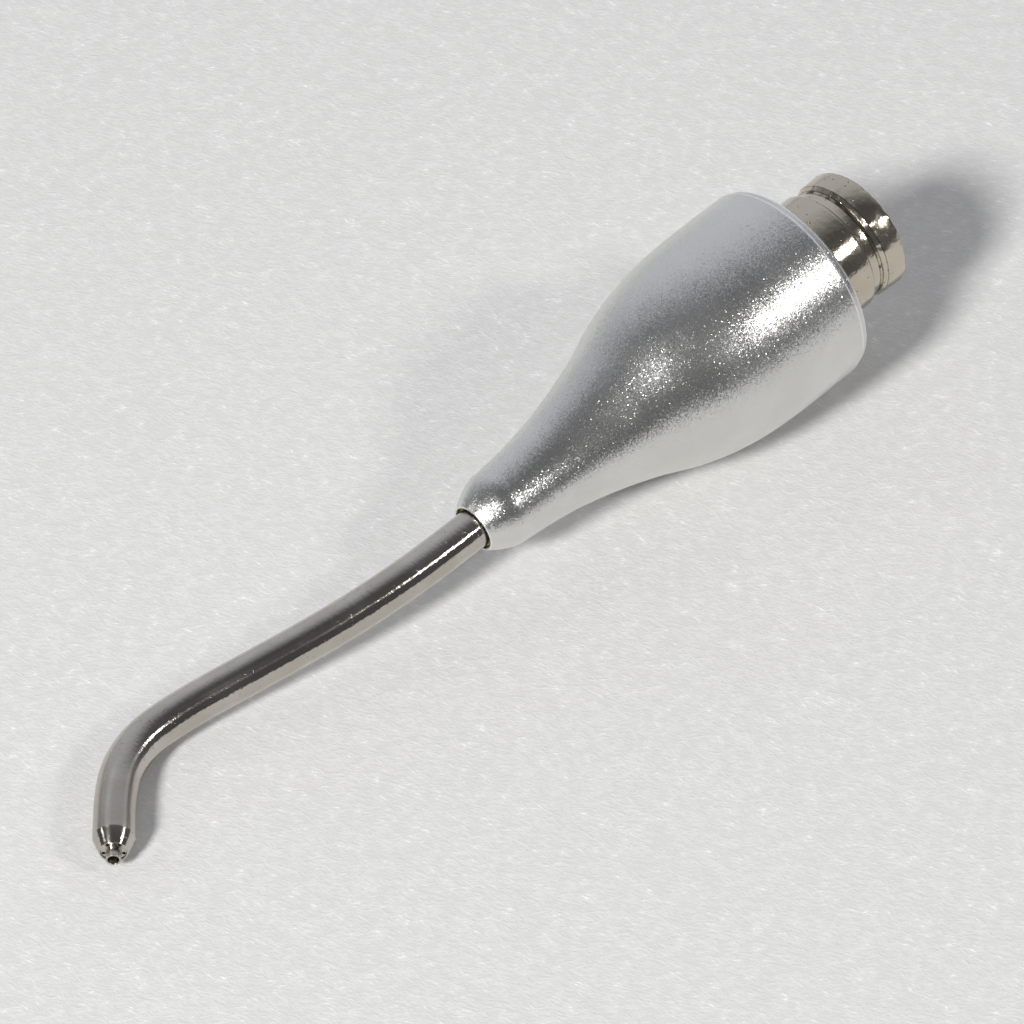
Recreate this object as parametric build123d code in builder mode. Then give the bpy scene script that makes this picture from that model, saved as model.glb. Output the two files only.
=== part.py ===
from build123d import *
import os
from math import cos, radians, sin

os.makedirs("parts", exist_ok=True)

# Head of a three-way dental syringe: a turned cone, the connector screwed into its rear
# and a bent spray tube that swivels in them. Millimetres. The cone's axis is X, with the
# tube's tip towards +X, and the origin is the centre of the connector's rear mouth.

# ---- spray tube --------------------------------------------------------------------
tube_r = 2.0
tube_bore_r = 1.6
water_r = 0.73
water_bore_r = 0.54
bend_roll = 6.0  # the bends lie in one plane, turned this far about X
lead_straight = 2.7  # straight run in front of the nose before the first bend
sway_radius, sway_angle = 94.0, 11.5
middle_straight = 9.6
ease_radius, ease_angle = 38.0, 8.5
elbow_radius, elbow_angle = 10.0, 43.7
relax_radius, relax_angle = 31.0, 7.3
tip_straight = 4.5
tip_swage = 1.6  # length of the swaged end
tip_rim_r = 1.35
tip_rim_bore_r = 1.22
spout_stick_out = 1.0
air_hole_count = 5
air_hole_r = 0.18
air_hole_pitch_r = 0.98
air_hole_phase = -28.0
tip_face_recess = 0.15
tip_insert_length = 3.6

# ---- cone --------------------------------------------------------------------------
head_length = 52.85  # connector mouth to nose
nose_r = 2.5
nose_roundness = 1.5  # run per unit of drop where the outline meets the nose
nose_hole_r = 2.32
nose_lip = 0.6
cone_rear = 9.35
cone_r = 10.68
cone_chamfer = 1.1
cone_chamfer_drop = 0.7
# Place and radius of the turned outline: belly, flare, neck and the nose's bead.
cone_stations = (
    (14.6, 10.7),
    (19.0, 10.64),
    (23.2, 10.28),
    (28.3, 9.13),
    (33.8, 7.06),
    (39.3, 5.44),
    (44.4, 4.45),
    (48.4, 4.03),
    (49.9, 3.9),
    (51.15, 3.47),
)
bush_seat_r = 2.9
bush_seat_end = 38.0
hub_bore_r = 4.4
hub_bore_end = 36.6
shoulder = 24.6  # the thrust washer's seat
thread_bore_r = 6.6

# ---- connector ---------------------------------------------------------------------
connector_r = 6.57
connector_front = 21.9
connector_lead_in = 0.4
flange_r = 6.56
flange_length = 2.45
flange_chamfer = 0.15
groove_r = 6.12
groove_foot = 3.5
groove_edge = 4.5
socket_r = 5.4
socket_depth = 9.0
barrel_bore_r = 5.0

# ---- tube holder and its seals -----------------------------------------------------
barrel_r = 4.95
holder_rear = 10.0
holder_flange_r = 6.1
holder_flange_rear = 22.6
holder_flange_front = 24.0
holder_hub_r = 4.0
holder_front = 29.0
holder_chamfer = 0.3
tube_rear = 19.0
chamber_r = 3.2
chamber_front = 18.0
seal_grooves = {"seal_ring_rear": 12.4, "seal_ring_front": 18.8}
seal_groove_width = 1.7
seal_groove_r = 3.75
seal_section_r = 0.6
washer_r = 6.3
washer_gap = 0.05  # end play at each washer face
washer_rear_bore_r = 5.1
washer_front_bore_r = 4.15
fillet_length = 1.6
fillet_r = 3.3
fillet_flank_ratio = 1.6

# ---- water seat in the holder's rear -----------------------------------------------
seat_rear = 10.2
seat_front = 14.2
seat_counterbore_r = 1.8
seat_air_hole_count = 6
seat_air_hole_r = 0.4
seat_air_pitch_r = 2.5
water_rear = 12.2
water_fillet_length = 1.0
water_fillet_r = 1.6
water_ring_x = 11.65
water_ring_section_r = 0.5
retainer_rear = 10.4
retainer_front = 11.1
retainer_bore_r = 1.1
fit = 0.02  # radial gap of parts pressed or brazed together
braze_fit = 0.01

# ---- nose bush ---------------------------------------------------------------------
bush_front = head_length - nose_lip
bush_rear = 44.65
bush_bore_r = 2.05
bush_chamfer = 0.25
bush_lead_in = 0.4
bush_groove_centre = 47.6
bush_groove_side_gap = 0.08
nose_ring_section_r = 0.28

bend_plane = Plane(
    origin=(0, 0, 0),
    x_dir=(1, 0, 0),
    z_dir=(0, -sin(radians(bend_roll)), cos(radians(bend_roll))),
)


def spray_path(start_x, past_rim):
    """Centre line of the spray tube from start_x on the axis to past_rim beyond its rim."""
    run = head_length + lead_straight - start_x
    with BuildLine(bend_plane) as line:
        a = Line((start_x, 0), (start_x + run, 0))
        b = JernArc(a @ 1, a % 1, sway_radius, -sway_angle)
        c = PolarLine(b @ 1, middle_straight, direction=b % 1)
        d = JernArc(c @ 1, c % 1, ease_radius, ease_angle)
        e = JernArc(d @ 1, d % 1, elbow_radius, elbow_angle)
        f = JernArc(e @ 1, e % 1, relax_radius, relax_angle)
        PolarLine(f @ 1, tip_straight + past_rim, direction=f % 1)
    return line.line


def turned(points, plane=Plane.XZ):
    """Closed outline of a part turned about the plane's own X axis."""
    with BuildSketch(plane) as outline:
        with BuildLine():
            Polyline(*points, close=True)
        make_face()
    return outline.sketch


def ring_section(x, ring_r, section_r):
    """Round section of a seal ring about X."""
    with BuildSketch(Plane.XZ) as section:
        with Locations((x, ring_r)):
            Circle(section_r)
    return section.sketch


def washer_outline(behind, ahead, bore_r):
    """Flat washer lying between two faces, with the end play on each side."""
    rear, front = behind + washer_gap, ahead - washer_gap
    return turned([(rear, bore_r), (front, bore_r), (front, washer_r), (rear, washer_r)])


def fillet_outline(face, inner_r, outer_r, length):
    """Brazing fillet with a hollow flank, standing on a face."""
    with BuildSketch(Plane.XZ) as outline:
        with BuildLine():
            low, high = (face + length, inner_r), (face, outer_r)
            Polyline(low, (face, inner_r), high)
            RadiusArc(high, low, -fillet_flank_ratio * length)
        make_face()
    return outline.sketch


to_rim = spray_path(tube_rear, 0)
rim_centre = to_rim @ 1
rim_axis = to_rim % 1
rim_side = bend_plane.z_dir.cross(rim_axis)
rim_plane = Plane(origin=rim_centre, x_dir=rim_side, z_dir=rim_axis)
# The same place with the plane's X along the tube, for turned outlines.
rim_turn = Plane(origin=rim_centre, x_dir=rim_axis, z_dir=bend_plane.z_dir)
rim_turning_axis = Axis(origin=rim_centre, direction=rim_axis)

# ==== head: what the hand holds still ===============================================
with BuildPart() as nose_cone:
    with BuildSketch(Plane.XZ):
        with BuildLine():
            belly_start = (cone_rear + cone_chamfer, cone_r)
            belly = Spline(
                belly_start,
                *cone_stations,
                (head_length, nose_r),
                tangents=((1, 0), (nose_roundness, -1)),
            )
            Polyline(
                belly @ 1,
                (head_length, nose_hole_r),
                (bush_front, nose_hole_r),
                (bush_front, bush_seat_r),
                (bush_seat_end, bush_seat_r),
                (hub_bore_end, hub_bore_r),
                (shoulder, hub_bore_r),
                (shoulder, thread_bore_r),
                (cone_rear, thread_bore_r),
                (cone_rear, cone_r - cone_chamfer_drop),
                belly_start,
            )
        make_face()
    revolve(axis=Axis.X)
nose_cone.part.label = "nose_cone"

with BuildPart() as nose_bush:
    groove_r_out = bush_bore_r + 2 * nose_ring_section_r
    groove_half = nose_ring_section_r + bush_groove_side_gap
    bush_points = [
        (bush_rear, bush_bore_r),
        (bush_groove_centre - groove_half, bush_bore_r),
        (bush_groove_centre - groove_half, groove_r_out),
        (bush_groove_centre + groove_half, groove_r_out),
        (bush_groove_centre + groove_half, bush_bore_r),
        (bush_front - bush_chamfer, bush_bore_r),
        (bush_front, bush_bore_r + bush_chamfer),
        (bush_front, bush_seat_r - fit),
        (bush_rear + bush_lead_in, bush_seat_r - fit),
        (bush_rear, bush_seat_r - bush_lead_in),
    ]
    add(turned(bush_points))
    revolve(axis=Axis.X)
nose_bush.part.label = "nose_bush"

with BuildPart() as nose_ring:
    add(ring_section(bush_groove_centre, bush_bore_r + nose_ring_section_r - fit, nose_ring_section_r))
    revolve(axis=Axis.X)
nose_ring.part.label = "nose_ring"

with BuildPart() as connector:
    connector_points = [
        (0, socket_r),
        (0, flange_r - flange_chamfer),
        (flange_chamfer, flange_r),
        (flange_length, flange_r),
        (groove_foot, groove_r),
        (groove_edge, groove_r),
        (groove_edge, connector_r),
        (connector_front - connector_lead_in, connector_r),
        (connector_front, connector_r - connector_lead_in),
        (connector_front, barrel_bore_r + connector_lead_in),
        (connector_front - connector_lead_in, barrel_bore_r),
        (socket_depth, barrel_bore_r),
        (socket_depth, socket_r),
    ]
    add(turned(connector_points))
    revolve(axis=Axis.X)
connector.part.label = "connector"

with BuildPart() as washer_rear:
    add(washer_outline(connector_front, holder_flange_rear, washer_rear_bore_r))
    revolve(axis=Axis.X)
washer_rear.part.label = "washer_rear"

with BuildPart() as washer_front:
    add(washer_outline(holder_flange_front, shoulder, washer_front_bore_r))
    revolve(axis=Axis.X)
washer_front.part.label = "washer_front"

# ==== cannula: what swivels =========================================================
with BuildPart() as cannula_tube:
    tube_line = spray_path(tube_rear, -tip_swage)
    with BuildSketch(Plane(origin=tube_line @ 0, z_dir=tube_line % 0)):
        Circle(tube_r)
        Circle(tube_bore_r, mode=Mode.SUBTRACT)
    sweep(path=tube_line)
    swage_points = [
        (-tip_swage, tube_bore_r),
        (-tip_swage, tube_r),
        (0, tip_rim_r),
        (0, tip_rim_bore_r),
        (-tip_face_recess, tip_rim_bore_r),
    ]
    add(turned(swage_points, rim_turn))
    revolve(axis=rim_turning_axis)
cannula_tube.part.label = "cannula_tube"

with BuildPart() as water_tube:
    water_line = spray_path(water_rear, spout_stick_out)
    with BuildSketch(Plane(origin=water_line @ 0, z_dir=water_line % 0)):
        Circle(water_r)
        Circle(water_bore_r, mode=Mode.SUBTRACT)
    sweep(path=water_line)
water_tube.part.label = "water_tube"

with BuildPart() as spray_tip:
    insert_points = [
        (-tip_face_recess, water_r + braze_fit),
        (-tip_face_recess, tip_rim_bore_r - braze_fit),
        (-tip_swage, tube_bore_r - fit),
        (-tip_insert_length, tube_bore_r - fit),
        (-tip_insert_length, water_r + braze_fit),
    ]
    add(turned(insert_points, rim_turn))
    revolve(axis=rim_turning_axis)
    with BuildSketch(rim_plane):
        with PolarLocations(air_hole_pitch_r, air_hole_count, start_angle=air_hole_phase):
            Circle(air_hole_r)
    extrude(amount=-tip_insert_length, mode=Mode.SUBTRACT)
spray_tip.part.label = "spray_tip"

with BuildPart() as tube_holder:
    holder_points = [
        (holder_rear, chamber_r),
        (holder_rear, barrel_r - holder_chamfer),
        (holder_rear + holder_chamfer, barrel_r),
    ]
    for groove in seal_grooves.values():
        holder_points += [
            (groove, barrel_r),
            (groove, seal_groove_r),
            (groove + seal_groove_width, seal_groove_r),
            (groove + seal_groove_width, barrel_r),
        ]
    holder_points += [
        (holder_flange_rear, barrel_r),
        (holder_flange_rear, holder_flange_r),
        (holder_flange_front, holder_flange_r),
        (holder_flange_front, holder_hub_r),
        (holder_front - holder_chamfer, holder_hub_r),
        (holder_front, holder_hub_r - holder_chamfer),
        (holder_front, tube_r + braze_fit),
        (tube_rear, tube_r + braze_fit),
        (tube_rear, tube_bore_r),
        (chamber_front, tube_bore_r),
        (chamber_front, chamber_r),
    ]
    add(turned(holder_points))
    revolve(axis=Axis.X)
tube_holder.part.label = "tube_holder"

with BuildPart() as tube_braze:
    add(fillet_outline(holder_front, tube_r + braze_fit, fillet_r, fillet_length))
    revolve(axis=Axis.X)
tube_braze.part.label = "tube_braze"

seal_rings = []
for ring_name, groove in seal_grooves.items():
    with BuildPart() as seal_ring:
        add(ring_section(groove + seal_groove_width / 2, barrel_bore_r - fit - seal_section_r, seal_section_r))
        revolve(axis=Axis.X)
    seal_ring.part.label = ring_name
    seal_rings.append(seal_ring)

with BuildPart() as water_seat:
    seat_points = [
        (seat_rear, seat_counterbore_r),
        (seat_rear, chamber_r - fit),
        (seat_front, chamber_r - fit),
        (seat_front, water_r + braze_fit),
        (water_rear, water_r + braze_fit),
        (water_rear, seat_counterbore_r),
    ]
    add(turned(seat_points))
    revolve(axis=Axis.X)
    with BuildSketch(Plane.YZ.offset(seat_rear)):
        with PolarLocations(seat_air_pitch_r, seat_air_hole_count):
            Circle(seat_air_hole_r)
    extrude(amount=seat_front - seat_rear, mode=Mode.SUBTRACT)
water_seat.part.label = "water_seat"

with BuildPart() as water_braze:
    add(fillet_outline(seat_front, water_r + braze_fit, water_fillet_r, water_fillet_length))
    revolve(axis=Axis.X)
water_braze.part.label = "water_braze"

with BuildPart() as water_ring:
    add(ring_section(water_ring_x, seat_counterbore_r - fit - water_ring_section_r, water_ring_section_r))
    revolve(axis=Axis.X)
water_ring.part.label = "water_ring"

with BuildPart() as ring_retainer:
    retainer_r = seat_counterbore_r - fit
    retainer_points = [
        (retainer_rear, retainer_bore_r),
        (retainer_rear, retainer_r),
        (retainer_front, retainer_r),
        (retainer_front, retainer_bore_r),
    ]
    add(turned(retainer_points))
    revolve(axis=Axis.X)
ring_retainer.part.label = "ring_retainer"

for piece in (
    nose_cone,
    nose_bush,
    nose_ring,
    connector,
    washer_rear,
    washer_front,
    cannula_tube,
    water_tube,
    spray_tip,
    tube_holder,
    tube_braze,
    *seal_rings,
    water_seat,
    water_braze,
    water_ring,
    ring_retainer,
):
    export_step(piece.part, f"parts/{piece.part.label}.step")
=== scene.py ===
import bpy
from math import cos, pi, radians, sin
from mathutils import Matrix, Vector


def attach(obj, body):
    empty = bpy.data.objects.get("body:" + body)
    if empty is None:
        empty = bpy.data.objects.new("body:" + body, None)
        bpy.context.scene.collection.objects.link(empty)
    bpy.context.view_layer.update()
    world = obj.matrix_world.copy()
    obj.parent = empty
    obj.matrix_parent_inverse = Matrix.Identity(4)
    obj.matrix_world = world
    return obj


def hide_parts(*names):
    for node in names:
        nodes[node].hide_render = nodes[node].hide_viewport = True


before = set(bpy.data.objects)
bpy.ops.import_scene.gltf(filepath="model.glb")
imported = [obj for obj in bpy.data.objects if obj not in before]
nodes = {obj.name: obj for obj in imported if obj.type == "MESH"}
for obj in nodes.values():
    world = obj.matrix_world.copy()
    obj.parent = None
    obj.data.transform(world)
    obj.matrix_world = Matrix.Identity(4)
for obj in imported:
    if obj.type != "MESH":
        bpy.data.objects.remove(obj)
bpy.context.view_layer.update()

MM = 0.001
ALONG = Vector((1, 0, 0))  # the cone's axis, from the connector's mouth to the nose

# ---- turned cone and connector: places along the axis and radii, in millimetres ---------
# The cone's skin from its rear edge: belly, flare, neck and the nose's bead.
CONE_OUTLINE = (
    (10.45, 10.68),
    (14.6, 10.7),
    (19.0, 10.64),
    (23.2, 10.28),
    (28.3, 9.13),
    (33.8, 7.06),
    (39.3, 5.44),
    (44.4, 4.45),
    (48.4, 4.03),
    (49.9, 3.9),
    (51.15, 3.47),
    (52.85, 2.5),
)
REAR_HANDLE = (1.3, 0)  # the skin leaves its rear edge along the axis
NOSE_HANDLE = (0.498, -0.33)  # and meets the nose at this slant
CURVE_STEPS = 10  # straight lengths between two points of the skin
# The cone's bore from the nose to the rear mouth, then the stepped band round its rear.
CONE_BORE = (
    (52.85, 2.32),
    (52.25, 2.32),
    (52.25, 2.9),
    (38.0, 2.9),
    (36.6, 4.4),
    (24.6, 4.4),
    (24.6, 6.6),
    (9.35, 6.6),
    (9.35, 9.98),
    (9.75, 10.45),
    (10.33, 10.55),
)
# The connector from its mouth along the flange, groove and plug, and back down its bore.
CONNECTOR_OUTLINE = (
    (0, 5.4),
    (0, 6.47),
    (0.15, 6.6),
    (0.5, 6.59),
    (1.2, 6.55),
    (1.9, 6.51),
    (2.45, 6.5),
    (2.9, 6.13),
    (3.2, 6.04),
    (4.5, 6.08),
    (4.5, 6.57),
    (4.8, 6.57),
    (21.5, 6.57),
    (21.9, 6.17),
    (21.9, 5.4),
    (21.5, 5.0),
    (9.0, 5.0),
    (9.0, 5.4),
)
CONE_FACETS, CONNECTOR_FACETS = 192, 256
# What lies this close to one of the flange's two rims, and outside this radius, gets knocked.
FLANGE_RIMS, FLANGE_RIM_REACH, FLANGE_RIM_INSIDE = (0.1, 2.5), 0.3, 5.9

# ---- wear, grime and painted shade on the connector, in metres ---------------------------
GROOVE_FOOT, GROOVE_EDGE = 3.05 * MM, 4.3 * MM  # grime gathers at the foot; a line of painted shade lies under the plug's edge
KNOCK_SIZE, KNOCK_LEVELS = 1.1 * MM, 2
KNOCK_DEPTH = 0.22 * MM
KNOCK_MIDDLE = 0.8  # nearly all of a knock goes inward

# ---- bent tubes, in metres ---------------------------------------------------------------
TUBE_RADIUS, TUBE_BORE = 2.0 * MM, 1.6 * MM
WATER_RADIUS, WATER_BORE = 0.73 * MM, 0.54 * MM
TUBE_FACETS, WATER_FACETS = 96, 48
TUBE_REAR, WATER_REAR = 19.0 * MM, 12.2 * MM
NOSE = 52.85 * MM
LEAD_RUN = 2.7 * MM
MIDDLE_RUN = 9.6 * MM
TIP_RUN = 4.5 * MM
SWAGE = 1.6 * MM
RIM_RADIUS, RIM_BORE = 1.35 * MM, 1.22 * MM
SPOUT_OUT = 1.0 * MM
# Each bend as its radius and its angle in degrees; the first one bends the other way.
BEND_NORMAL = Vector((0, -sin(radians(6)), cos(radians(6))))
SWAY = (94.0 * MM, -11.5)
EASE = (38.0 * MM, 8.5)
ELBOW = (10.0 * MM, 43.7)
RELAX = (31.0 * MM, 7.3)
BEND_STEP, FEWEST_STEPS = 1.5, 4  # degrees between two rings of a bend, and its fewest steps
# Lengths along the tube between which its haze comes in, and where its swage starts and is full.
HAZE_FROM, HAZE_TO = 92 * MM, 100 * MM
SWAGE_FROM = 104.1 * MM
SWAGE_TO = SWAGE_FROM + 0.3 * MM

# ---- edges and joins ---------------------------------------------------------------------
WELD = 0.002 * MM
NEAR = 0.02 * MM  # vertices closer than this count as in place
BROKEN_EDGE = 0.07 * MM
TUBE_EDGE, SPOUT_EDGE = 0.05 * MM, 0.06 * MM
EDGE_SEGMENTS = 3
SMOOTH_BELOW = 35  # degrees

# ---- stage, in metres --------------------------------------------------------------------
MIDDLE = Vector((0.05, 0, 0))
# The part lies on its belly and on the tube's tip, so the cloth slopes under the cone's axis.
CLOTH_NORMAL = Vector((-0.1090, -0.0125, 0.9940)).normalized()
CLOTH_SIZE = 6
CAMERA_SIDE = Vector((0.4086, 0.5022, 0.7621)).normalized()  # from the object to the camera
CAMERA_DISTANCE = 0.5714
CAMERA_AIM = (0.003714, 0.0016)  # right of the nose and above it
CAMERA_LENS = 210.9
CAMERA_CLIP = (0.01, 20)
SIDE = CLOTH_NORMAL.cross(CAMERA_SIDE).normalized()  # to the camera's right
TOWARD = SIDE.cross(CLOTH_NORMAL).normalized()  # along the cloth, to the camera
CAMERA_UP = CAMERA_SIDE.cross(SIDE).normalized()
LIGHT_DISTANCE = 2.0
# The far wall of the room is bright and bluish, and the rest of the room is dim.
WALL_AT, WALL_FROM, WALL_FULL = (180, 15), 0.25, 0.95
ROOM_COLOUR, WALL_COLOUR = (0.10, 0.10, 0.107), (0.62, 0.64, 0.69)


# ==== modelling helpers ===================================================================
def start(name, vertices, radius):
    """A filled circle in edit mode, all selected, from which a piece is drawn out."""
    bpy.ops.object.select_all(action="DESELECT")
    bpy.ops.mesh.primitive_circle_add(vertices=vertices, radius=radius, fill_type="NGON")
    piece = bpy.context.object
    piece.name = piece.data.name = name
    bpy.ops.object.mode_set(mode="EDIT")
    bpy.ops.mesh.select_mode(type="VERT")
    bpy.ops.mesh.select_all(action="SELECT")
    return piece


def pick(piece, test):
    """Selects the vertices whose place passes the test, in edit mode."""
    bpy.ops.object.mode_set(mode="EDIT")
    bpy.ops.mesh.select_mode(type="VERT")
    bpy.ops.mesh.select_all(action="DESELECT")
    bpy.ops.object.mode_set(mode="OBJECT")
    for vertex in piece.data.vertices:
        vertex.select = test(vertex.co)
    bpy.ops.object.mode_set(mode="EDIT")


def face_outward():
    bpy.ops.mesh.select_all(action="SELECT")
    bpy.ops.mesh.normals_make_consistent(inside=False)


def round_edges(piece, width, sharpness):
    """Breaks each edge that turns by more than this many degrees, and marks what wears first."""
    bpy.ops.object.mode_set(mode="EDIT")
    bpy.ops.mesh.select_mode(type="EDGE")
    bpy.ops.mesh.select_all(action="DESELECT")
    bpy.ops.mesh.edges_select_sharp(sharpness=radians(sharpness))
    bpy.ops.mesh.bevel(offset=width, segments=EDGE_SEGMENTS, profile=0.5, affect="EDGES")
    bpy.ops.object.mode_set(mode="OBJECT")
    worn = [1.0 if face.select else 0.0 for face in piece.data.polygons]
    mark = piece.data.attributes.new("edge", "FLOAT", "FACE")
    mark.data.foreach_set("value", worn)


def smooth(piece):
    """Smooth shading that keeps the broad faces true beside their rounded edges."""
    bpy.ops.object.mode_set(mode="OBJECT")
    bpy.ops.object.select_all(action="DESELECT")
    bpy.context.view_layer.objects.active = piece
    piece.select_set(True)
    bpy.ops.object.shade_smooth_by_angle(angle=radians(SMOOTH_BELOW))
    weighted = piece.modifiers.new("true_faces", "WEIGHTED_NORMAL")
    weighted.keep_sharp = True
    bpy.ops.object.modifier_apply(modifier=weighted.name)


def on_drawing(point):
    """A point of an outline, given as its place and radius in millimetres."""
    return Vector((point[0], 0, point[1])) * MM


def draw_on(points, here):
    """Draws a line from the selected vertex through points of an outline."""
    for point in points:
        step = on_drawing((point[0] - here[0], point[1] - here[1]))
        bpy.ops.mesh.extrude_region_move(TRANSFORM_OT_translate={"value": step})
        here = point


def turn_on_lathe(facets):
    """Spins the drawn outline about the axis and closes the seam."""
    bpy.ops.mesh.select_all(action="SELECT")
    bpy.ops.mesh.remove_doubles(threshold=WELD)
    bpy.ops.mesh.spin(steps=facets, angle=2 * pi, center=(0, 0, 0), axis=ALONG)
    bpy.ops.mesh.select_all(action="SELECT")
    bpy.ops.mesh.remove_doubles(threshold=WELD)
    face_outward()


def settle(piece, body, slot, material, *replaced):
    """Gives a finished piece its body, its finish and the CAD nodes it stands for."""
    piece.data.materials.clear()
    piece.data.materials.append(material)
    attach(piece, body)
    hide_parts(*replaced)


# ==== turned pieces =======================================================================
def make_cone():
    """The skin is drawn as a curve and the bore as a line, and both are turned together."""
    bpy.ops.object.select_all(action="DESELECT")
    bpy.ops.curve.primitive_bezier_curve_add()
    outline = bpy.context.object
    outline.name = outline.data.name = "cone_shell"
    outline.data.resolution_u = CURVE_STEPS
    spline = outline.data.splines[0]
    spline.bezier_points.add(len(CONE_OUTLINE) - len(spline.bezier_points))
    for point, place in zip(spline.bezier_points, CONE_OUTLINE):
        point.co = on_drawing(place)
        point.handle_left_type = point.handle_right_type = "AUTO"
    first, last = spline.bezier_points[0], spline.bezier_points[-1]
    for point, slant in ((first, REAR_HANDLE), (last, NOSE_HANDLE)):
        handle = on_drawing(slant)
        point.handle_left_type = point.handle_right_type = "FREE"
        point.handle_left, point.handle_right = point.co - handle, point.co + handle
    bpy.ops.object.convert(target="MESH")
    cone = bpy.context.object
    nose = on_drawing(CONE_OUTLINE[-1])
    pick(cone, lambda place: (place - nose).length < NEAR)
    draw_on(CONE_BORE + CONE_OUTLINE[:1], CONE_OUTLINE[-1])
    turn_on_lathe(CONE_FACETS)
    round_edges(cone, BROKEN_EDGE, sharpness=12)
    smooth(cone)
    return cone


def make_connector():
    """A small circle merged into one vertex, which is drawn round the outline and turned."""
    connector = start("connector_turned", 8, 0.1 * MM)
    bpy.ops.mesh.merge(type="CENTER")
    first = CONNECTOR_OUTLINE[0]
    bpy.ops.transform.translate(value=on_drawing(first))
    draw_on(CONNECTOR_OUTLINE[1:] + (first,), first)
    turn_on_lathe(CONNECTOR_FACETS)
    round_edges(connector, BROKEN_EDGE, sharpness=14)
    batter_rims(connector)
    smooth(connector)
    return connector


def batter_rims(connector):
    """Knocks the flange's two rims slightly out of true, as use does."""
    bpy.ops.object.mode_set(mode="OBJECT")
    rims = connector.vertex_groups.new(name="rims")
    for vertex in connector.data.vertices:
        place = vertex.co.x / MM
        outside = (vertex.co.y**2 + vertex.co.z**2) ** 0.5 > FLANGE_RIM_INSIDE * MM
        if outside and min(abs(place - rim) for rim in FLANGE_RIMS) < FLANGE_RIM_REACH:
            rims.add([vertex.index], 1.0, "REPLACE")
    knocks = bpy.data.textures.new("knocks", "CLOUDS")
    knocks.noise_scale = KNOCK_SIZE
    knocks.noise_depth = KNOCK_LEVELS
    dent = connector.modifiers.new("knocks", "DISPLACE")
    dent.texture = knocks
    dent.vertex_group = rims.name
    dent.strength = KNOCK_DEPTH
    dent.mid_level = KNOCK_MIDDLE
    bpy.ops.object.modifier_apply(modifier=dent.name)


# ==== bent tubes ==========================================================================
# A tube's trail lists its rings: centre, heading, and length along the tube from x = 0.
def run_on(trail, length):
    """Draws the open end of a tube straight on."""
    place, heading, gone = trail[-1]
    bpy.ops.mesh.extrude_region_move(TRANSFORM_OT_translate={"value": heading * length})
    trail.append((place + heading * length, heading, gone + length))


def bend_on(trail, bend):
    """Spins the open end of a tube round a bend."""
    place, heading, gone = trail[-1]
    radius, angle = bend[0], radians(bend[1])
    centre = place + BEND_NORMAL.cross(heading) * (radius if angle > 0 else -radius)
    steps = max(FEWEST_STEPS, round(abs(bend[1]) / BEND_STEP))
    bpy.ops.mesh.spin(steps=steps, angle=-angle, center=centre, axis=BEND_NORMAL)
    for step in range(1, steps + 1):
        turn = Matrix.Rotation(angle * step / steps, 3, BEND_NORMAL)
        ring = centre + turn @ (place - centre)
        trail.append((ring, turn @ heading, gone + radius * abs(angle) * step / steps))


def draw_tube(name, facets, radius, bore, rear, tip_run):
    """A tube drawn out of a flat ring along the spray path, with the trail it took."""
    tube = start(name, facets, radius)
    bpy.ops.mesh.inset(thickness=radius - bore)
    bpy.ops.mesh.delete(type="ONLY_FACE")
    bpy.ops.mesh.select_all(action="SELECT")
    bpy.ops.object.mode_set(mode="OBJECT")
    tube.data.transform(Matrix.Translation((rear, 0, 0)) @ Matrix.Rotation(pi / 2, 4, "Y"))
    bpy.ops.object.mode_set(mode="EDIT")
    bpy.ops.mesh.select_mode(type="FACE")
    bpy.ops.mesh.select_all(action="SELECT")
    trail = [(Vector((rear, 0, 0)), ALONG, rear)]
    run_on(trail, NOSE + LEAD_RUN - rear)
    bend_on(trail, SWAY)
    run_on(trail, MIDDLE_RUN)
    for bend in (EASE, ELBOW, RELAX):
        bend_on(trail, bend)
    run_on(trail, tip_run)
    return tube, trail


def mark_run(tube, trail):
    """Stores how far along the tube each point lies and which way the tube runs there."""
    lengths, headings = [], []
    for vertex in tube.data.vertices:
        place, heading, gone = min(trail, key=lambda ring: (vertex.co - ring[0]).length_squared)
        lengths.append(gone + (vertex.co - place).dot(heading))
        headings.extend(heading)
    mark = tube.data.attributes.new("along", "FLOAT", "POINT")
    mark.data.foreach_set("value", lengths)
    run = tube.data.attributes.new("heading", "FLOAT_VECTOR", "POINT")
    run.data.foreach_set("vector", headings)


def finish_tube(tube, trail, edge, sharpness):
    face_outward()
    round_edges(tube, edge, sharpness)
    mark_run(tube, trail)
    smooth(tube)
    return tube


def make_cannula():
    """The outer tube, drawn on by the swage's length and squeezed in at its rim."""
    straight = TIP_RUN - SWAGE
    tube, trail = draw_tube("cannula_drawn", TUBE_FACETS, TUBE_RADIUS, TUBE_BORE, TUBE_REAR, straight)
    run_on(trail, SWAGE)
    rim, heading = trail[-1][:2]
    wall = (TUBE_RADIUS + TUBE_BORE) / 2

    def off_axis(point):
        return (point - rim - heading * (point - rim).dot(heading)).length

    def at_rim(point):
        return abs((point - rim).dot(heading)) < NEAR

    pick(tube, lambda point: at_rim(point) and off_axis(point) < wall)
    bpy.ops.transform.resize(value=(RIM_BORE / TUBE_BORE,) * 3, center_override=rim)
    pick(tube, lambda point: at_rim(point) and wall < off_axis(point) < 2 * wall)
    bpy.ops.transform.resize(value=(RIM_RADIUS / TUBE_RADIUS,) * 3, center_override=rim)
    return finish_tube(tube, trail, TUBE_EDGE, sharpness=12)


def make_spout():
    """The inner tube, which stands out of the rim as the water spout."""
    straight = TIP_RUN + SPOUT_OUT
    tube, trail = draw_tube("water_spout", WATER_FACETS, WATER_RADIUS, WATER_BORE, WATER_REAR, straight)
    return finish_tube(tube, trail, SPOUT_EDGE, sharpness=20)


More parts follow.
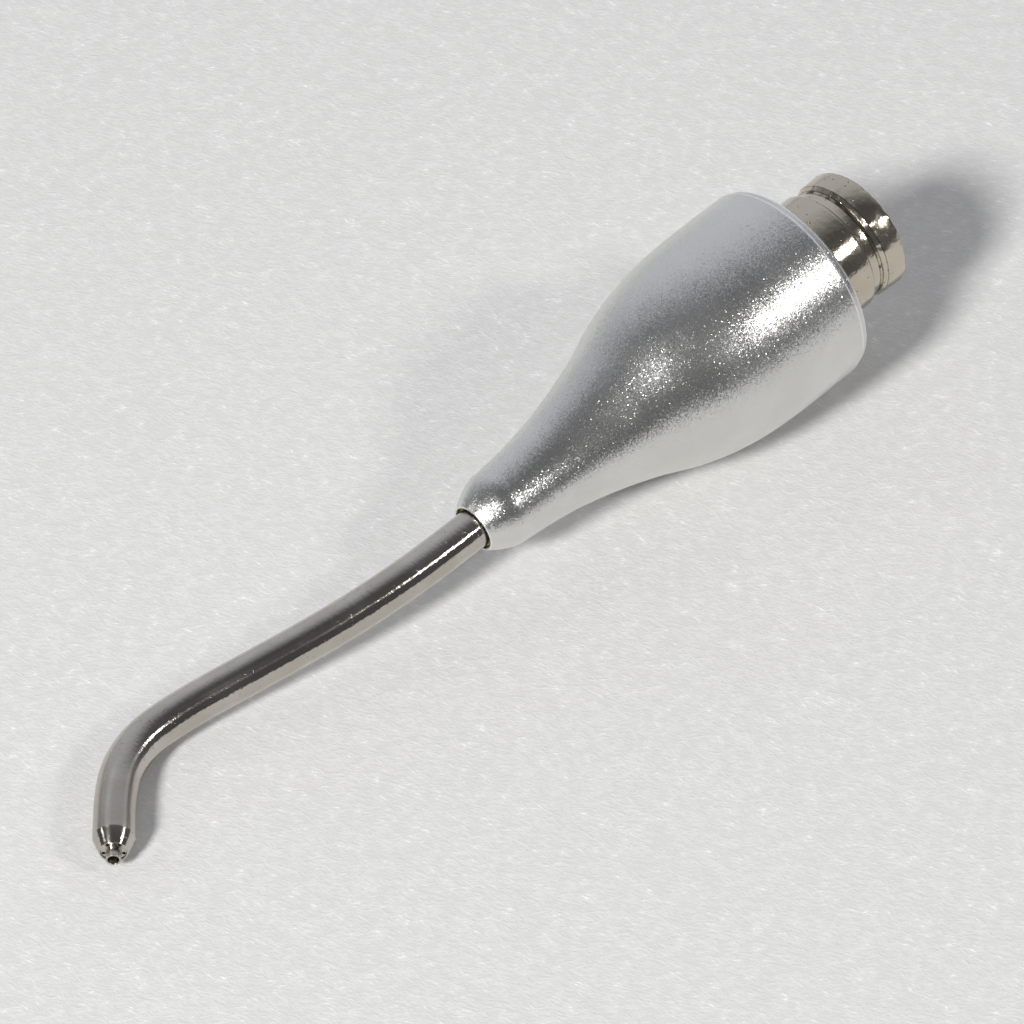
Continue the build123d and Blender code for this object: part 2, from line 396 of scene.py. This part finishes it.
# ==== node helpers ========================================================================
def feed(tree, socket, value):
    """Links a socket to another node's output, or sets its plain value."""
    if isinstance(value, bpy.types.NodeSocket):
        tree.links.new(value, socket)
    elif socket.type == "RGBA" and len(value) == 3:
        socket.default_value = (*value, 1)
    else:
        socket.default_value = value


def add(tree, kind, settings=None, **feeds):
    node = tree.nodes.new("ShaderNode" + kind)
    for name, value in (settings or {}).items():
        setattr(node, name, value)
    for name, value in feeds.items():
        feed(tree, node.inputs[name.replace("_", " ")], value)
    return node


def math(tree, operation, *values):
    node = add(tree, "Math", {"operation": operation})
    for socket, value in zip(node.inputs, values):
        feed(tree, socket, value)
    return node.outputs[0]


def between(tree, share, low, high):
    """A value that goes from low to high as the share goes from 0 to 1."""
    return math(tree, "MULTIPLY_ADD", share, high - low, low)


def vector(tree, operation, *values, scale=None):
    node = add(tree, "VectorMath", {"operation": operation})
    for socket, value in zip(node.inputs, values):
        feed(tree, socket, value)
    if scale is not None:
        feed(tree, node.inputs["Scale"], scale)
    return node.outputs["Value" if operation == "DOT_PRODUCT" else "Vector"]


def blend_colour(tree, share, low, high):
    return add(tree, "Mix", {"data_type": "RGBA"}, Factor=share, A=low, B=high).outputs["Result"]


def ramp(tree, value, low, high, to_low=0.0, to_high=1.0):
    """Spreads a value between two limits, with soft ends."""
    node = add(tree, "MapRange", {"interpolation_type": "SMOOTHSTEP"}, Value=value)
    limits = (("From Min", low), ("From Max", high), ("To Min", to_low), ("To Max", to_high))
    for name, number in limits:
        feed(tree, node.inputs[name], number)
    return node.outputs["Result"]


def close_to(tree, value, middle, outer, inner):
    """1 within the inner distance of the middle, fading to 0 at the outer one."""
    distance = math(tree, "ABSOLUTE", math(tree, "SUBTRACT", value, middle))
    return ramp(tree, distance, outer, inner)


def object_place(tree):
    return add(tree, "TexCoord").outputs["Object"]


def stored(tree, name):
    """Outputs of a value that the mesh carries."""
    return add(tree, "Attribute", {"attribute_name": name}).outputs


def noise(tree, place, scale, detail=2.0, roughness=0.5, output="Fac"):
    feeds = {"Vector": place, "Scale": scale, "Detail": detail, "Roughness": roughness}
    return add(tree, "TexNoise", None, **feeds).outputs[output]


def chance(tree, place):
    """A random share for each place."""
    return add(tree, "TexWhiteNoise", {"noise_dimensions": "3D"}, Vector=place).outputs["Value"]


def stretched(tree, place, **feeds):
    return add(tree, "Mapping", None, Vector=place, **feeds).outputs[0]


def new_group(name, inputs, outputs):
    """A shader node group: gives the group, what it is given and what it results in."""
    group = bpy.data.node_groups.new(name, "ShaderNodeTree")
    for label, value in inputs:
        socket = group.interface.new_socket(label, in_out="INPUT", socket_type="NodeSocketFloat")
        socket.default_value = value
    for label, kind in outputs:
        group.interface.new_socket(label, in_out="OUTPUT", socket_type="NodeSocket" + kind)
    given = group.nodes.new("NodeGroupInput")
    result = group.nodes.new("NodeGroupOutput")
    return group, given.outputs, result.inputs


def use(tree, group, **values):
    return add(tree, "Group", {"node_tree": group}, **values).outputs


# ==== shared effects ======================================================================
def make_blast_grain():
    """Small facets left by bead blasting: each tilts its own way, and a few tilt steeply."""
    group, given, result = new_group(
        "blast_grain",
        (("Grain Scale", 6000), ("Tilt", 0.2), ("Steep", 2.0)),
        (("Normal", "Vector"), ("Fleck", "Float")),
    )
    stir_scale, stir_reach = 2600, 0.22 * MM  # bends the straight borders between facets
    few = 4.0
    centred = (0.5,) * 3
    place = object_place(group)
    swirl = noise(group, place, stir_scale, 1.0, output="Color")
    stir = vector(group, "SCALE", vector(group, "SUBTRACT", swirl, centred), scale=stir_reach)
    stirred = vector(group, "ADD", place, stir)
    facets = add(group, "TexVoronoi", None, Vector=stirred, Scale=given["Grain Scale"]).outputs
    lean = vector(group, "SUBTRACT", facets["Color"], centred)
    rare = math(group, "POWER", chance(group, facets["Position"]), few)
    steeper = math(group, "MULTIPLY_ADD", rare, given["Steep"], 1.0)
    reach = math(group, "MULTIPLY", given["Tilt"], steeper)
    normal = add(group, "NewGeometry").outputs["Normal"]
    tilted = vector(group, "ADD", normal, vector(group, "SCALE", lean, scale=reach))
    feed(group, result["Normal"], vector(group, "NORMALIZE", tilted))
    feed(group, result["Fleck"], rare)
    return group


def make_edge_wear():
    """Where broken edges have lost their finish, in patches."""
    group, given, result = new_group(
        "edge_wear", (("Wear", 0.6), ("Patch Scale", 900)), (("Worn", "Float"),)
    )
    softness = 0.12
    patch = noise(group, object_place(group), given["Patch Scale"], 3.0)
    threshold = math(group, "SUBTRACT", 1.0, given["Wear"])
    low = math(group, "SUBTRACT", threshold, softness)
    high = math(group, "ADD", threshold, softness)
    worn = ramp(group, patch, low, high)
    feed(group, result["Worn"], math(group, "MULTIPLY", worn, stored(group, "edge")["Fac"]))
    return group


def make_handling():
    """Faint smears and fine scratches from handling."""
    group, given, result = new_group(
        "handling",
        (("Smear Scale", 160), ("Scratch Scale", 1500)),
        (("Smear", "Float"), ("Scratch", "Float")),
    )
    patch_scale = 90
    place = object_place(group)
    smear = ramp(group, noise(group, place, given["Smear Scale"], 4.0, 0.55), 0.38, 0.68)
    long_way = stretched(group, place, Rotation=(0.3, 0.5, 0.7), Scale=(0.06, 1.0, 1.0))
    lines = ramp(group, noise(group, long_way, given["Scratch Scale"], 1.0), 0.69, 0.76)
    patches = ramp(group, noise(group, place, patch_scale), 0.5, 0.7)
    feed(group, result["Smear"], smear)
    feed(group, result["Scratch"], math(group, "MULTIPLY", lines, patches))
    return group


def make_orange_peel():
    """Shallow waves and scattered pits in a polished or plated skin."""
    group, given, result = new_group(
        "orange_peel",
        (("Wave Scale", 1800), ("Pit Scale", 1400), ("Pit Share", 0.12)),
        (("Height", "Float"), ("Pit", "Float")),
    )
    pit_edge, pit_floor = 0.3, 0.12  # shares of a cell
    place = object_place(group)
    waves = noise(group, place, given["Wave Scale"])
    cells = add(group, "TexVoronoi", None, Vector=place, Scale=given["Pit Scale"]).outputs
    chosen = math(group, "LESS_THAN", chance(group, cells["Position"]), given["Pit Share"])
    hollow = ramp(group, cells["Distance"], pit_edge, pit_floor)
    pit = math(group, "MULTIPLY", hollow, chosen)
    feed(group, result["Height"], math(group, "SUBTRACT", waves, pit))
    feed(group, result["Pit"], pit)
    return group


def make_tool_marks():
    """Fine rings left by turning, round the axis."""
    group, given, result = new_group("tool_marks", (("Pitch Scale", 9000),), (("Height", "Float"),))
    rings = stretched(group, object_place(group), Scale=(1.0, 0.02, 0.02))
    feed(group, result["Height"], noise(group, rings, given["Pitch Scale"]))
    return group


def make_drawn_marks():
    """Fine polishing marks round a bent tube, from the length stored along it."""
    group, given, result = new_group(
        "drawn_marks", (("Mark Scale", 5000), ("Break Up", 0.12)), (("Height", "Float"),)
    )
    spread = vector(group, "SCALE", object_place(group), scale=given["Break Up"])
    along = add(group, "CombineXYZ", None, X=stored(group, "along")["Fac"]).outputs[0]
    run = vector(group, "ADD", spread, along)
    feed(group, result["Height"], noise(group, run, given["Mark Scale"], 2.0, 0.6))
    return group


BLAST_GRAIN = make_blast_grain()
EDGE_WEAR = make_edge_wear()
HANDLING = make_handling()
ORANGE_PEEL = make_orange_peel()
TOOL_MARKS = make_tool_marks()
DRAWN_MARKS = make_drawn_marks()


# ==== finishes ============================================================================
def new_material(name, metallic):
    material = bpy.data.materials.new(name)
    material.use_nodes = True
    shader = material.node_tree.nodes["Principled BSDF"]
    shader.inputs["Metallic"].default_value = metallic
    return material, material.node_tree, shader


def relief(tree, shader, height, distance, strength=1.0):
    """Feeds a height, whose full value stands this many metres proud, as bump."""
    bump = add(tree, "Bump", None, Height=height, Distance=distance, Strength=strength)
    feed(tree, shader.inputs["Normal"], bump.outputs["Normal"])


def tint(tree, shader, share, colours, roughness):
    """Takes colour and roughness from their first value to their second as the share grows."""
    feed(tree, shader.inputs["Base Color"], blend_colour(tree, share, *colours))
    feed(tree, shader.inputs["Roughness"], between(tree, share, *roughness))


def blasted_aluminium():
    material, tree, shader = new_material("blasted_aluminium", 1.0)
    grain = use(tree, BLAST_GRAIN, Grain_Scale=11000, Tilt=0.14, Steep=2.4)
    wear = use(tree, EDGE_WEAR, Wear=0.72, Patch_Scale=1200)["Worn"]
    smear = use(tree, HANDLING, Smear_Scale=140, Scratch_Scale=1400)["Smear"]
    skin = blend_colour(tree, smear, (0.70, 0.70, 0.675), (0.74, 0.74, 0.72))
    bare, bare_rougher = (0.95, 0.95, 0.95), 0.1
    rough = between(tree, smear, 0.275, 0.31)
    feed(tree, shader.inputs["Base Color"], blend_colour(tree, wear, skin, bare))
    feed(tree, shader.inputs["Roughness"], math(tree, "MULTIPLY_ADD", wear, bare_rougher, rough))
    feed(tree, shader.inputs["Normal"], grain["Normal"])
    return material


def polished_steel():
    """Drawn tube: bright on the long runs, hazier past the elbow, and rubbed along its length."""
    material, tree, shader = new_material("polished_steel", 1.0)
    along = stored(tree, "along")["Fac"]
    marks = use(tree, DRAWN_MARKS, Mark_Scale=4600, Break_Up=0.3)["Height"]
    peel = use(tree, ORANGE_PEEL, Wave_Scale=3000, Pit_Scale=3200, Pit_Share=0.12)
    smear = use(tree, HANDLING, Smear_Scale=220, Scratch_Scale=2200)["Smear"]
    skin = blend_colour(tree, smear, (0.49, 0.46, 0.41), (0.56, 0.53, 0.48))
    pit_colour = (0.3, 0.27, 0.23)
    feed(tree, shader.inputs["Base Color"], blend_colour(tree, peel["Pit"], skin, pit_colour))
    # The haze makes the skin rougher, and the swage's fresh metal is smoother again.
    haze = ramp(tree, along, HAZE_FROM, HAZE_TO, 0.0, 0.13)
    swaged = ramp(tree, along, SWAGE_FROM, SWAGE_TO, 0.0, -0.09)
    rough = math(tree, "ADD", between(tree, smear, 0.115, 0.145), haze)
    feed(tree, shader.inputs["Roughness"], math(tree, "ADD", rough, swaged))
    shader.inputs["Anisotropic"].default_value = 0.9
    feed(tree, shader.inputs["Tangent"], stored(tree, "heading")["Vector"])
    peel_share, depth = 0.8, 0.018 * MM
    relief(tree, shader, math(tree, "MULTIPLY_ADD", peel["Height"], peel_share, marks), depth)
    return material


def nickel_plate():
    """Bright plate over worked brass: uneven underneath, pitted, dirty in its groove, with painted shade
    under the plug's edge.
    """
    material, tree, shader = new_material("nickel_plate", 1.0)
    place = object_place(tree)
    peel = use(tree, ORANGE_PEEL, Wave_Scale=1300, Pit_Scale=3000, Pit_Share=0.10)
    smear = use(tree, HANDLING, Smear_Scale=200, Scratch_Scale=1800)["Smear"]
    wear = use(tree, EDGE_WEAR, Wear=0.66, Patch_Scale=1500)["Worn"]
    worn_colour, grime_and_shade_colour = (0.30, 0.25, 0.19), (0.10, 0.08, 0.06)
    grime_and_shade_rougher = 0.2
    skin = blend_colour(tree, smear, (0.55, 0.50, 0.41), (0.60, 0.55, 0.46))
    edged = blend_colour(tree, wear, skin, worn_colour)
    # Grime lies in patches at the groove's foot, and a line of painted shade lies under the plug's edge.
    across = add(tree, "SeparateXYZ", None, Vector=place).outputs["X"]
    foot = close_to(tree, across, GROOVE_FOOT, 0.3 * MM, 0.1 * MM)
    shade_under_edge = close_to(tree, across, GROOVE_EDGE, 0.2 * MM, 0.1 * MM)
    patches = ramp(tree, noise(tree, place, 900, 3.0, 0.6), 0.42, 0.6)
    in_patches, painted_shade_line = math(tree, "MULTIPLY", foot, patches), math(tree, "MULTIPLY", shade_under_edge, 0.75)
    grime_and_shade = math(tree, "MAXIMUM", in_patches, painted_shade_line)
    pits_grime_and_shade = math(tree, "MAXIMUM", peel["Pit"], grime_and_shade)
    rough = between(tree, smear, 0.13, 0.18)
    # Pits, grime patches and the painted shade line under the plug's edge all take the same dark colour.
    feed(tree, shader.inputs["Base Color"], blend_colour(tree, pits_grime_and_shade, edged, grime_and_shade_colour))
    feed(tree, shader.inputs["Roughness"], math(tree, "MULTIPLY_ADD", grime_and_shade, grime_and_shade_rougher, rough))
    relief(tree, shader, peel["Height"], 0.032 * MM)
    return material


def tip_steel():
    """The plug in the tube's rim: the same steel, faced off square."""
    material, tree, shader = new_material("tip_steel", 1.0)
    smear = use(tree, HANDLING, Smear_Scale=400, Scratch_Scale=2200)["Smear"]
    tint(tree, shader, smear, ((0.52, 0.49, 0.44), (0.60, 0.57, 0.52)), (0.25, 0.35))
    relief(tree, shader, use(tree, TOOL_MARKS, Pitch_Scale=9000)["Height"], 0.02 * MM)
    return material


def turned_brass():
    material, tree, shader = new_material("turned_brass", 1.0)
    smear = use(tree, HANDLING, Smear_Scale=300, Scratch_Scale=2000)["Smear"]
    tint(tree, shader, smear, ((0.55, 0.42, 0.18), (0.68, 0.54, 0.28)), (0.2, 0.32))
    relief(tree, shader, use(tree, TOOL_MARKS, Pitch_Scale=9000)["Height"], 0.01 * MM)
    return material


def silver_braze():
    material, tree, shader = new_material("silver_braze", 1.0)
    peel = use(tree, ORANGE_PEEL, Wave_Scale=1200, Pit_Scale=2200, Pit_Share=0.3)
    tint(tree, shader, peel["Pit"], ((0.66, 0.62, 0.52), (0.3, 0.26, 0.2)), (0.28, 0.58))
    relief(tree, shader, peel["Height"], 0.06 * MM)
    return material


def seal_rubber():
    material, tree, shader = new_material("seal_rubber", 0.0)
    hand = use(tree, HANDLING, Smear_Scale=500, Scratch_Scale=2500)
    tint(tree, shader, hand["Smear"], ((0.022, 0.022, 0.023), (0.05, 0.05, 0.048)), (0.42, 0.62))
    relief(tree, shader, hand["Scratch"], 0.01 * MM)
    return material


def washer_plastic():
    material, tree, shader = new_material("washer_plastic", 0.0)
    shader.inputs["Subsurface Weight"].default_value = 0.2
    shader.inputs["Subsurface Radius"].default_value = (0.6 * MM, 0.5 * MM, 0.4 * MM)
    hand = use(tree, HANDLING, Smear_Scale=300, Scratch_Scale=1600)
    tint(tree, shader, hand["Smear"], ((0.74, 0.72, 0.64), (0.68, 0.65, 0.56)), (0.35, 0.5))
    relief(tree, shader, hand["Scratch"], 0.01 * MM)
    return material


def fleece():
    """Pale cloth of short fibres that lie mostly one way; higher fibres are painted lighter, and the top
    ones get a painted glint.
    """
    material, tree, shader = new_material("fleece", 0.0)
    shader.inputs["Roughness"].default_value = 0.8
    place = object_place(tree)
    lays, length = (1.75, 2.1, 2.5), 3.2  # directions of the fibres, and how drawn out they are
    fibre_scale, tuft_scale, tuft_share = 3200, 700, 0.5
    top = None
    for lay in lays:
        kind = {"vector_type": "TEXTURE"}
        run = add(tree, "Mapping", kind, Vector=place, Rotation=(0, 0, lay), Scale=(length, 1.0, 1.0))
        fibres = noise(tree, run.outputs[0], fibre_scale, 2.0, 0.6)
        top = fibres if top is None else math(tree, "MAXIMUM", top, fibres)
    height = math(tree, "MULTIPLY_ADD", noise(tree, place, tuft_scale, 3.0), tuft_share, top)
    # Painted light: the colour lightens with fibre height as if the tops were lit, and the highest fibres
    # get a painted glint.
    shaded_fibre_colour, lit_fibre_colour, painted_glint_colour = (0.74, 0.735, 0.725), (0.81, 0.805, 0.795), (0.96, 0.96, 0.95)
    painted_fibre_light = blend_colour(tree, ramp(tree, height, 0.7, 1.0), shaded_fibre_colour, lit_fibre_colour)
    painted_glint = ramp(tree, height, 0.96, 1.05)
    feed(tree, shader.inputs["Base Color"], blend_colour(tree, painted_glint, painted_fibre_light, painted_glint_colour))
    relief(tree, shader, height, 0.12 * MM, 0.7)
    return material


def dress(material, *node_names):
    """Gives CAD pieces that keep their shape a better finish."""
    for node_name in node_names:
        for place in nodes[node_name].material_slots:
            place.material = material


# ==== stage ===============================================================================
def facing_matrix(direction, place):
    turn = direction.to_track_quat("Z", "Y").to_matrix().to_4x4()
    return Matrix.Translation(place) @ turn


def lay_cloth():
    """A flat cloth that the lowest points of the cone, connector and tube touch."""
    lowest = min(
        CLOTH_NORMAL.dot(vertex.co)
        for name in ("nose_cone", "cannula_tube", "connector")
        for vertex in nodes[name].data.vertices
    )
    bpy.ops.object.select_all(action="DESELECT")
    bpy.ops.mesh.primitive_plane_add(size=CLOTH_SIZE)
    cloth = bpy.context.object
    cloth.name = "cloth"
    drop = CLOTH_NORMAL * (lowest - CLOTH_NORMAL.dot(MIDDLE))
    cloth.data.transform(facing_matrix(CLOTH_NORMAL, MIDDLE + drop))
    cloth.data.materials.append(fleece())


def towards(azimuth, elevation):
    """Direction on the stage: azimuth 0 is toward the camera and 90 to its right."""
    a, e = radians(azimuth), radians(elevation)
    return SIDE * sin(a) * cos(e) + TOWARD * cos(a) * cos(e) + CLOTH_NORMAL * sin(e)


def softbox(name, direction, size, power, colour):
    light = bpy.data.lights.new(name, "AREA")
    light.shape = "DISK"
    light.size = size
    light.energy = power
    light.color = colour
    lamp = bpy.data.objects.new(name, light)
    bpy.context.scene.collection.objects.link(lamp)
    lamp.matrix_world = facing_matrix(direction, MIDDLE + direction * LIGHT_DISTANCE)


def light_room():
    """Three round lights, in a dim room whose far wall is bright."""
    softbox("key_softbox", towards(-33, 36), 0.38, 41.0, (1.0, 0.995, 0.985))
    softbox("edge_softbox", towards(76, 37), 0.33, 7.9, (1.0, 0.99, 0.97))
    softbox("side_softbox", towards(-92, 30), 0.31, 1.3, (1.0, 1.0, 1.0))
    world = bpy.data.worlds.new("room")
    bpy.context.scene.world = world
    world.use_nodes = True
    tree = world.node_tree
    looking = add(tree, "TexCoord").outputs["Generated"]
    facing = vector(tree, "DOT_PRODUCT", looking, towards(*WALL_AT))
    wall = ramp(tree, facing, WALL_FROM, WALL_FULL)
    shade = blend_colour(tree, wall, ROOM_COLOUR, WALL_COLOUR)
    feed(tree, tree.nodes["Background"].inputs["Color"], shade)


def place_camera():
    camera_data = bpy.data.cameras.new("camera")
    camera_data.lens = CAMERA_LENS
    camera_data.clip_start, camera_data.clip_end = CAMERA_CLIP
    camera = bpy.data.objects.new("camera", camera_data)
    bpy.context.scene.collection.objects.link(camera)
    axes = Matrix((SIDE, CAMERA_UP, CAMERA_SIDE)).transposed().to_4x4()
    aim = ALONG * NOSE + SIDE * CAMERA_AIM[0] + CAMERA_UP * CAMERA_AIM[1]
    camera.matrix_world = Matrix.Translation(aim + CAMERA_SIDE * CAMERA_DISTANCE) @ axes
    bpy.context.scene.camera = camera


lay_cloth()
light_room()
place_camera()
bpy.context.scene.view_settings.view_transform = "Standard"

steel = polished_steel()
settle(make_cone(), "head", "cone_aluminium", blasted_aluminium(), "nose_cone")
settle(make_connector(), "head", "nickel_plate", nickel_plate(), "connector")
settle(make_cannula(), "cannula", "polished_steel", steel, "cannula_tube")
settle(make_spout(), "cannula", "tip_steel", steel, "water_tube")
dress(tip_steel(), "spray_tip")
dress(turned_brass(), "nose_bush", "tube_holder", "water_seat", "ring_retainer")
dress(silver_braze(), "tube_braze", "water_braze")
dress(seal_rubber(), "nose_ring", "seal_ring_rear", "seal_ring_front", "water_ring")
dress(washer_plastic(), "washer_rear", "washer_front")
